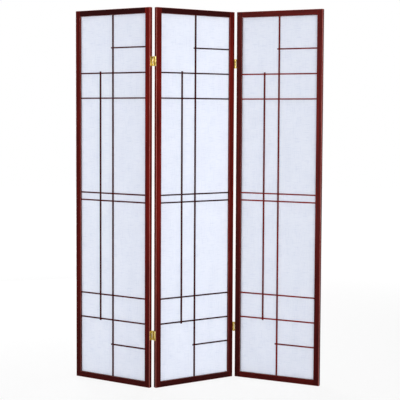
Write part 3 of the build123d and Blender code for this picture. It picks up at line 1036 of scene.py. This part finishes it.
@dataclass(frozen=True)
class Brads:
    """The small brads that hold a panel's beads, made by geometry nodes along the beads.

    Args:
        place: how their panel stands.
        seed: what fixes where each one strays.
        pitch: the distance between two brads.
        head_radius: the radius of a head.
        head_rise: how far a head stands out.
        stray: how far a brad may be from its even place.
        inset: how far they are from a bead's outer edge.
        corner_room: how far they keep from a corner.
    """

    place: PanelFrame
    seed: int
    pitch: float = 0.14
    head_radius: float = 0.0009
    head_rise: float = 0.0004
    stray: float = 0.004
    inset: float = 0.0022
    corner_room: float = 0.03

    def build(self, tree: bpy.types.NodeTree, material: bpy.types.Material) -> bpy.types.Object:
        """Makes the brads as one plain mesh.

        Args:
            tree: the geometry nodes from brad_tree.
            material: their finish.

        Returns:
            The finished piece, riding on its panel.
        """
        guide = self._guide()
        modifier = guide.modifiers.new("brads", "NODES")
        modifier.node_group = tree
        values = {
            "Pitch": self.pitch,
            "Head Radius": self.head_radius,
            "Flatness": self.head_rise / self.head_radius,
            "Stray": self.stray,
            "Seed": self.seed,
            "Turn": self.place.back.to_track_quat("Z", "Y").to_euler(),
            "Finish": material,
        }
        for item in tree.interface.items_tree:
            if item.in_out == "INPUT" and item.name in values:
                modifier[item.identifier] = values[item.name]
        bpy.context.view_layer.update()
        graph = bpy.context.evaluated_depsgraph_get()
        mesh = bpy.data.meshes.new_from_object(guide.evaluated_get(graph), depsgraph=graph)
        lines = guide.data
        bpy.data.objects.remove(guide)
        bpy.data.meshes.remove(lines)
        mesh.name = f"{self.place.side}_panel_bead_brads"
        piece = add_object(mesh.name, mesh)
        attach(piece, f"{self.place.side}_panel")
        return piece

    def _guide(self) -> bpy.types.Object:
        """Draws four lines along the backs of the beads, where the brads go.

        Returns:
            The lines' object.
        """
        low, high = self.place.box("retaining_beads")
        left, right = low[0] + self.inset, high[0] - self.inset
        bottom, top = low[2] + self.inset, high[2] - self.inset
        room, face = self.corner_room, high[1]
        ends = [(x, face, z) for x in (left, right) for z in (bottom + room, top - room)]
        ends += [(x, face, z) for z in (bottom, top) for x in (left + room, right - room)]
        edges = [(start, start + 1) for start in range(0, len(ends), 2)]
        mesh = bpy.data.meshes.new("brad_line")
        mesh.from_pydata(self.place.shared(np.array(ends)).tolist(), edges, [])
        return add_object(mesh.name, mesh)


def brad_tree(segments: int = 12, rings: int = 8) -> bpy.types.NodeTree:
    """Builds the geometry nodes that set domed brad heads along lines.

    Args:
        segments: how many sides a head has.
        rings: how many rows of faces it has.

    Returns:
        The tree, with named inputs for its sizes.
    """
    sketch, given, result = new_group(
        "brads_along_beads",
        "GeometryNodeTree",
        {
            "Lines": "Geometry",
            "Pitch": "Float",
            "Head Radius": "Float",
            "Flatness": "Float",
            "Stray": "Float",
            "Seed": "Int",
            "Turn": "Rotation",
            "Finish": "Material",
        },
        {"Brads": "Geometry"},
    )

    def step(kind: str, **inputs: Value) -> Socket:
        """Adds a geometry node.

        Args:
            kind: its type, without the word GeometryNode.
            inputs: the values of its inputs.

        Returns:
            Its first output.
        """
        return sketch.wire(sketch.node(f"GeometryNode{kind}"), **inputs)[0]

    chance = sketch.node("FunctionNodeRandomValue", data_type="FLOAT")
    numbers = [socket for socket in chance.inputs if socket.type == "VALUE"]
    low, high = [socket for socket in numbers if socket.name in ("Min", "Max")][:2]
    sketch.put(low, sketch.math("MULTIPLY", given["Stray"], -1.0))
    sketch.put(high, given["Stray"])
    sketch.put(chance.inputs["Seed"], given["Seed"])
    drawn = next(socket for socket in chance.outputs if socket.type == "VALUE" and socket.enabled)
    way = sketch.node("ShaderNodeVectorMath", operation="SCALE")
    strayed = sketch.wire(way, Vector=step("InputTangent"), Scale=drawn)[0]
    even = sketch.node("GeometryNodeResampleCurve", mode="LENGTH")
    sketch.wire(even, Curve=step("MeshToCurve", Mesh=given["Lines"]), Length=given["Pitch"])
    places = step("SetPosition", Geometry=even.outputs[0], Offset=strayed)
    ball = step("MeshUVSphere", Segments=segments, Rings=rings, Radius=given["Head Radius"])
    flat = sketch.join(1.0, 1.0, given["Flatness"])
    head = step("Transform", Geometry=ball, Scale=flat)
    heads = step("InstanceOnPoints", Points=places, Instance=head, Rotation=given["Turn"])
    real = step("RealizeInstances", Geometry=heads)
    finished = step("SetMaterial", Geometry=real, Material=given["Finish"])
    sketch.put(result["Brads"], finished)
    return sketch.tree


@dataclass(frozen=True)
class Panel:
    """One framed panel: its members' finishes, its cloth and its brads.

    Args:
        side: left, middle or right.
        seed: what makes its cloth and brads its own.
        board_and_light_tones: how light each member comes out, from 0 for dark to 1 for light;
            partly its board's own tone and partly painted light and shade.
        bead_tone: the same for the beads.
    """

    side: str
    seed: int
    board_and_light_tones: dict[str, float]
    bead_tone: float = 0.30

    MEMBERS = {
        "left_stile": Grain.UPRIGHT,
        "right_stile": Grain.UPRIGHT,
        "top_rail": Grain.ACROSS,
        "bottom_rail": Grain.ACROSS,
        "centre_bar": Grain.UPRIGHT,
        "side_bar": Grain.UPRIGHT,
        "middle_cross_bars": Grain.ACROSS,
        "inner_cross_bars": Grain.ACROSS,
        "outer_cross_bars": Grain.ACROSS,
        "short_cross_bars": Grain.ACROSS,
        "retaining_beads": Grain.BORDER,
    }

    def build(
        self, effects: Effects, brads: bpy.types.NodeTree, screw_brass: bpy.types.Material
    ) -> None:
        """Dresses the panel's solids and makes its cloth and brads.

        Args:
            effects: the shared shader groups.
            brads: the geometry nodes for the brads.
            screw_brass: the finish of screws and brads.
        """
        place = PanelFrame.read(self.side)
        for member, grain in self.MEMBERS.items():
            wood = BAR_WOOD if "bar" in member else FRAME_WOOD
            node = f"{self.side}_panel_{member}"
            # A member's tone carries painted light and shade as well as its board's own.
            board_and_light_tone = self.board_and_light_tones.get(member, self.bead_tone)
            dress(node, wood.material(effects, place, grain, f"stain_{node}", board_and_light_tone))
            LOG.info("%s: stained wood, grain %s", node, grain.value)
        dowels = f"{self.side}_panel_frame_dowels"
        dress(dowels, BareWood().material(effects, place, f"bare_{dowels}"))
        dress(f"{self.side}_panel_hinge_screws", screw_brass)
        weave = ScreenCloth().material(effects, f"{self.side}_panel_weave")
        cloth = Cloth(place, self.seed).build(weave)
        LOG.info("%s: %d faces", cloth.name, len(cloth.data.polygons))
        heads = Brads(place, self.seed).build(brads, screw_brass)
        LOG.info("%s: %d faces", heads.name, len(heads.data.polygons))


# Each member's tone is partly its board's own and partly painted light and shade, lighter or darker
# by member and panel.
PANELS = (
    Panel(
        "left",
        11,
        {
            "left_stile": 0.33, "right_stile": 0.58, "top_rail": 0.04, "bottom_rail": 0.12,
            "centre_bar": 0.12, "side_bar": 0.10, "middle_cross_bars": 0.24,
            "inner_cross_bars": 0.20, "outer_cross_bars": 0.16, "short_cross_bars": 0.16,
        },
    ),
    Panel(
        "middle",
        23,
        {
            "left_stile": 0.52, "right_stile": 0.44, "top_rail": 0.05, "bottom_rail": 0.06,
            "centre_bar": 0.08, "side_bar": 0.08, "middle_cross_bars": 0.04,
            "inner_cross_bars": 0.05, "outer_cross_bars": 0.05, "short_cross_bars": 0.04,
        },
    ),
    Panel(
        "right",
        37,
        {
            "left_stile": 0.24, "right_stile": 0.36, "top_rail": 0.34, "bottom_rail": 0.22,
            "centre_bar": 0.55, "side_bar": 0.42, "middle_cross_bars": 0.85,
            "inner_cross_bars": 0.75, "outer_cross_bars": 0.80, "short_cross_bars": 0.65,
        },
    ),
)


@dataclass(frozen=True)
class Hinges:
    """The four two-way brass hinges.

    Args:
        junctions: which panel meets the middle one at each junction.
        levels: the hinges of a junction.
        plates: the flat pieces of a hinge.
    """

    junctions: tuple[str, ...] = ("left", "right")
    levels: tuple[str, ...] = ("lower", "upper")
    plates: tuple[str, ...] = ("left_leaf", "right_leaf", "link")

    def build(self, effects: Effects) -> None:
        """Gives plates and pins their brass.

        Args:
            effects: the shared shader groups.
        """
        plate_brass = PLATE_BRASS.material(effects, "hinge_brass_plate")
        pin_brass = PIN_BRASS.material(effects, "hinge_brass_pin")
        for junction in self.junctions:
            for level in self.levels:
                hinge = f"{junction}_{level}_hinge"
                for plate in self.plates:
                    dress(f"{hinge}_{plate}", plate_brass)
                dress(f"{hinge}_pins", pin_brass)
                LOG.info("%s: brass", hinge)


# The studio


@dataclass(frozen=True)
class SoftLamp:
    """A large soft lamp.

    Args:
        name: its name.
        place: where its middle is.
        aim: the point that it faces.
        size: its width and height.
        power: its power, in watts.
    """

    name: str
    place: Point
    aim: Point
    size: Span
    power: float

    def hang(self) -> None:
        """Adds the lamp to the scene."""
        lamp = bpy.data.lights.new(self.name, "AREA")
        lamp.shape = "RECTANGLE"
        lamp.size, lamp.size_y = self.size
        lamp.energy = self.power
        holder = add_object(self.name, lamp)
        holder.location = self.place
        facing = Vector(self.aim) - Vector(self.place)
        holder.rotation_euler = facing.to_track_quat("-Z", "Y").to_euler()
        holder.visible_camera = False


@dataclass(frozen=True)
class Studio:
    """White surroundings, a white floor that keeps a soft shadow, and soft lamps.

    Args:
        ambient: how bright the surroundings light the object.
        shadow_share: how much of the floor's own shading shows near the object.
        shadow_reach: the distances between which that shading fades away.
        glow: how bright the floor is where it is seen, before its own shading is mixed in.
        floor_white: how much light the floor gives back.
        floor_roughness: the floor's roughness.
        floor_radius: the floor's radius.
        floor_drop: how far the floor lies under the panels.
        floor_sides: how many sides the round floor has.
        lamps: the lamps.
    """

    ambient: float = 0.36
    shadow_share: float = 0.20
    shadow_reach: Span = (1.6, 5.0)
    glow: float = 1.055
    floor_white: float = 0.82
    floor_roughness: float = 0.9
    floor_radius: float = 14.0
    floor_drop: float = 0.0004
    floor_sides: int = 96
    lamps: tuple[SoftLamp, ...] = (
        SoftLamp("key", (2.6, -4.7, 1.4), (0.0, 0.0, 0.9), (0.8, 2.4), 88.0),
        SoftLamp("fill", (-2.3, -2.9, 1.3), (-0.5, 0.0, 0.9), (1.6, 2.4), 24.0),
        SoftLamp("top", (0.0, 0.2, 4.4), (0.0, 0.0, 0.9), (3.0, 2.0), 18.0),
        SoftLamp("back", (-1.4, 3.0, 1.1), (-0.5, 0.0, 0.9), (1.8, 2.2), 84.0),
    )

    def build(self) -> None:
        """Sets the world, the floor and the lamps."""
        scene = bpy.context.scene
        scene.view_settings.view_transform = "Standard"
        scene.world = bpy.data.worlds.new("white_studio")
        scene.world.use_nodes = True
        self._surroundings(scene.world.node_tree)
        self._floor()
        for lamp in self.lamps:
            lamp.hang()
        LOG.info("studio: %d lamps", len(self.lamps))

    @staticmethod
    def _seen(sketch: Sketch) -> Socket:
        """Tells which rays show the surroundings.

        Args:
            sketch: the sketch of the tree that asks.

        Returns:
            1 for rays that see them at once, in a mirror or through glass, and else 0.
        """
        rays = sketch.node("ShaderNodeLightPath").outputs
        mirrored = sketch.math("MAXIMUM", rays["Is Glossy Ray"], rays["Is Transmission Ray"])
        return sketch.math("MAXIMUM", rays["Is Camera Ray"], mirrored)

    def _surroundings(self, tree: bpy.types.NodeTree) -> None:
        """Makes the world white where it is seen and softer where it lights the object.

        Args:
            tree: the world's tree.
        """
        sketch = Sketch(tree)
        lit, seen = tree.nodes["Background"], sketch.node("ShaderNodeBackground")
        dim = sketch.wire(lit, Color=WHITE, Strength=self.ambient)
        bright = sketch.wire(seen, Color=WHITE)
        both = sketch.mix_shaders(self._seen(sketch), dim[0], bright[0])
        sketch.wire(tree.nodes["World Output"], Surface=both)

    def _floor(self) -> None:
        """Lays a round white floor."""
        turns = np.linspace(0, 2 * math.pi, self.floor_sides, endpoint=False)
        x, y = self.floor_radius * np.cos(turns), self.floor_radius * np.sin(turns)
        rim = np.column_stack((x, y, np.full_like(turns, -self.floor_drop)))
        mesh = bpy.data.meshes.new("studio_floor")
        mesh.from_pydata(rim.tolist(), [], [tuple(range(self.floor_sides))])
        mesh.materials.append(self._floor_white())
        add_object("studio_floor", mesh)

    def _floor_white(self) -> bpy.types.Material:
        """Builds the floor's finish, which glows except in the object's shadow.

        Returns:
            The material.
        """
        made, sketch, shader = principled("studio_floor_white")
        white = (*[self.floor_white] * 3, 1.0)
        rough = self.floor_roughness
        sketch.wire(shader, Base_Color=white, Roughness=rough, Specular_IOR_Level=0.0)
        glow = sketch.wire(sketch.node("ShaderNodeEmission"), Color=WHITE, Strength=self.glow)
        spot = sketch.node("ShaderNodeTexCoord").outputs["Object"]
        away = sketch.vector("LENGTH", spot)["Value"]
        bright = sketch.spread(away, *self.shadow_reach, (1.0 - self.shadow_share, 1.0))
        share = sketch.math("MULTIPLY", self._seen(sketch), bright)
        both = sketch.mix_shaders(share, shader.outputs[0], glow[0])
        sketch.wire(made.node_tree.nodes["Material Output"], Surface=both)
        return made


@dataclass(frozen=True)
class Viewpoint:
    """Where the photograph was taken from.

    Args:
        place: the camera's place.
        heading: its turn from +Y, in degrees, counterclockwise.
        tilt: how far it looks down, in degrees.
        roll: its roll, in degrees.
        focal_length: in pixels of the picture.
        horizon_row: the row of the picture that its axis meets.
        sensor: the sensor's width, in millimetres.
        reach: how far it sees.
    """

    place: Point = (-0.0553, -5.1371, 1.2910)
    heading: float = -0.766
    tilt: float = 3.500
    roll: float = 0.278
    focal_length: float = 1077.1
    horizon_row: float = 180.0
    sensor: float = 36.0
    reach: float = 100.0

    def build(self) -> None:
        """Adds the camera and makes it the scene's."""
        lens = bpy.data.cameras.new("viewpoint")
        lens.sensor_width = self.sensor
        lens.lens = self.focal_length * self.sensor / PICTURE_SIDE
        lens.shift_y = (self.horizon_row - PICTURE_SIDE / 2) / PICTURE_SIDE
        lens.clip_end = self.reach
        camera = add_object("viewpoint", lens)
        turns = ((self.heading, "Z"), (90 - self.tilt, "X"), (self.roll, "Z"))
        stand = Matrix.Translation(self.place)
        for degrees, axis in turns:
            stand = stand @ Matrix.Rotation(math.radians(degrees), 4, axis)
        camera.matrix_world = stand
        bpy.context.scene.camera = camera


def main() -> None:
    """Builds the camera, the studio, the panels and the hinges."""
    logging.basicConfig(level=logging.INFO, format="%(message)s")
    Viewpoint().build()
    Studio().build()
    effects = Effects()
    brads = brad_tree()
    screw_brass = SCREW_BRASS.material(effects, "screw_brass_worn")
    for panel in PANELS:
        panel.build(effects, brads, screw_brass)
    Hinges().build(effects)


if __name__ == "__main__":
    main()
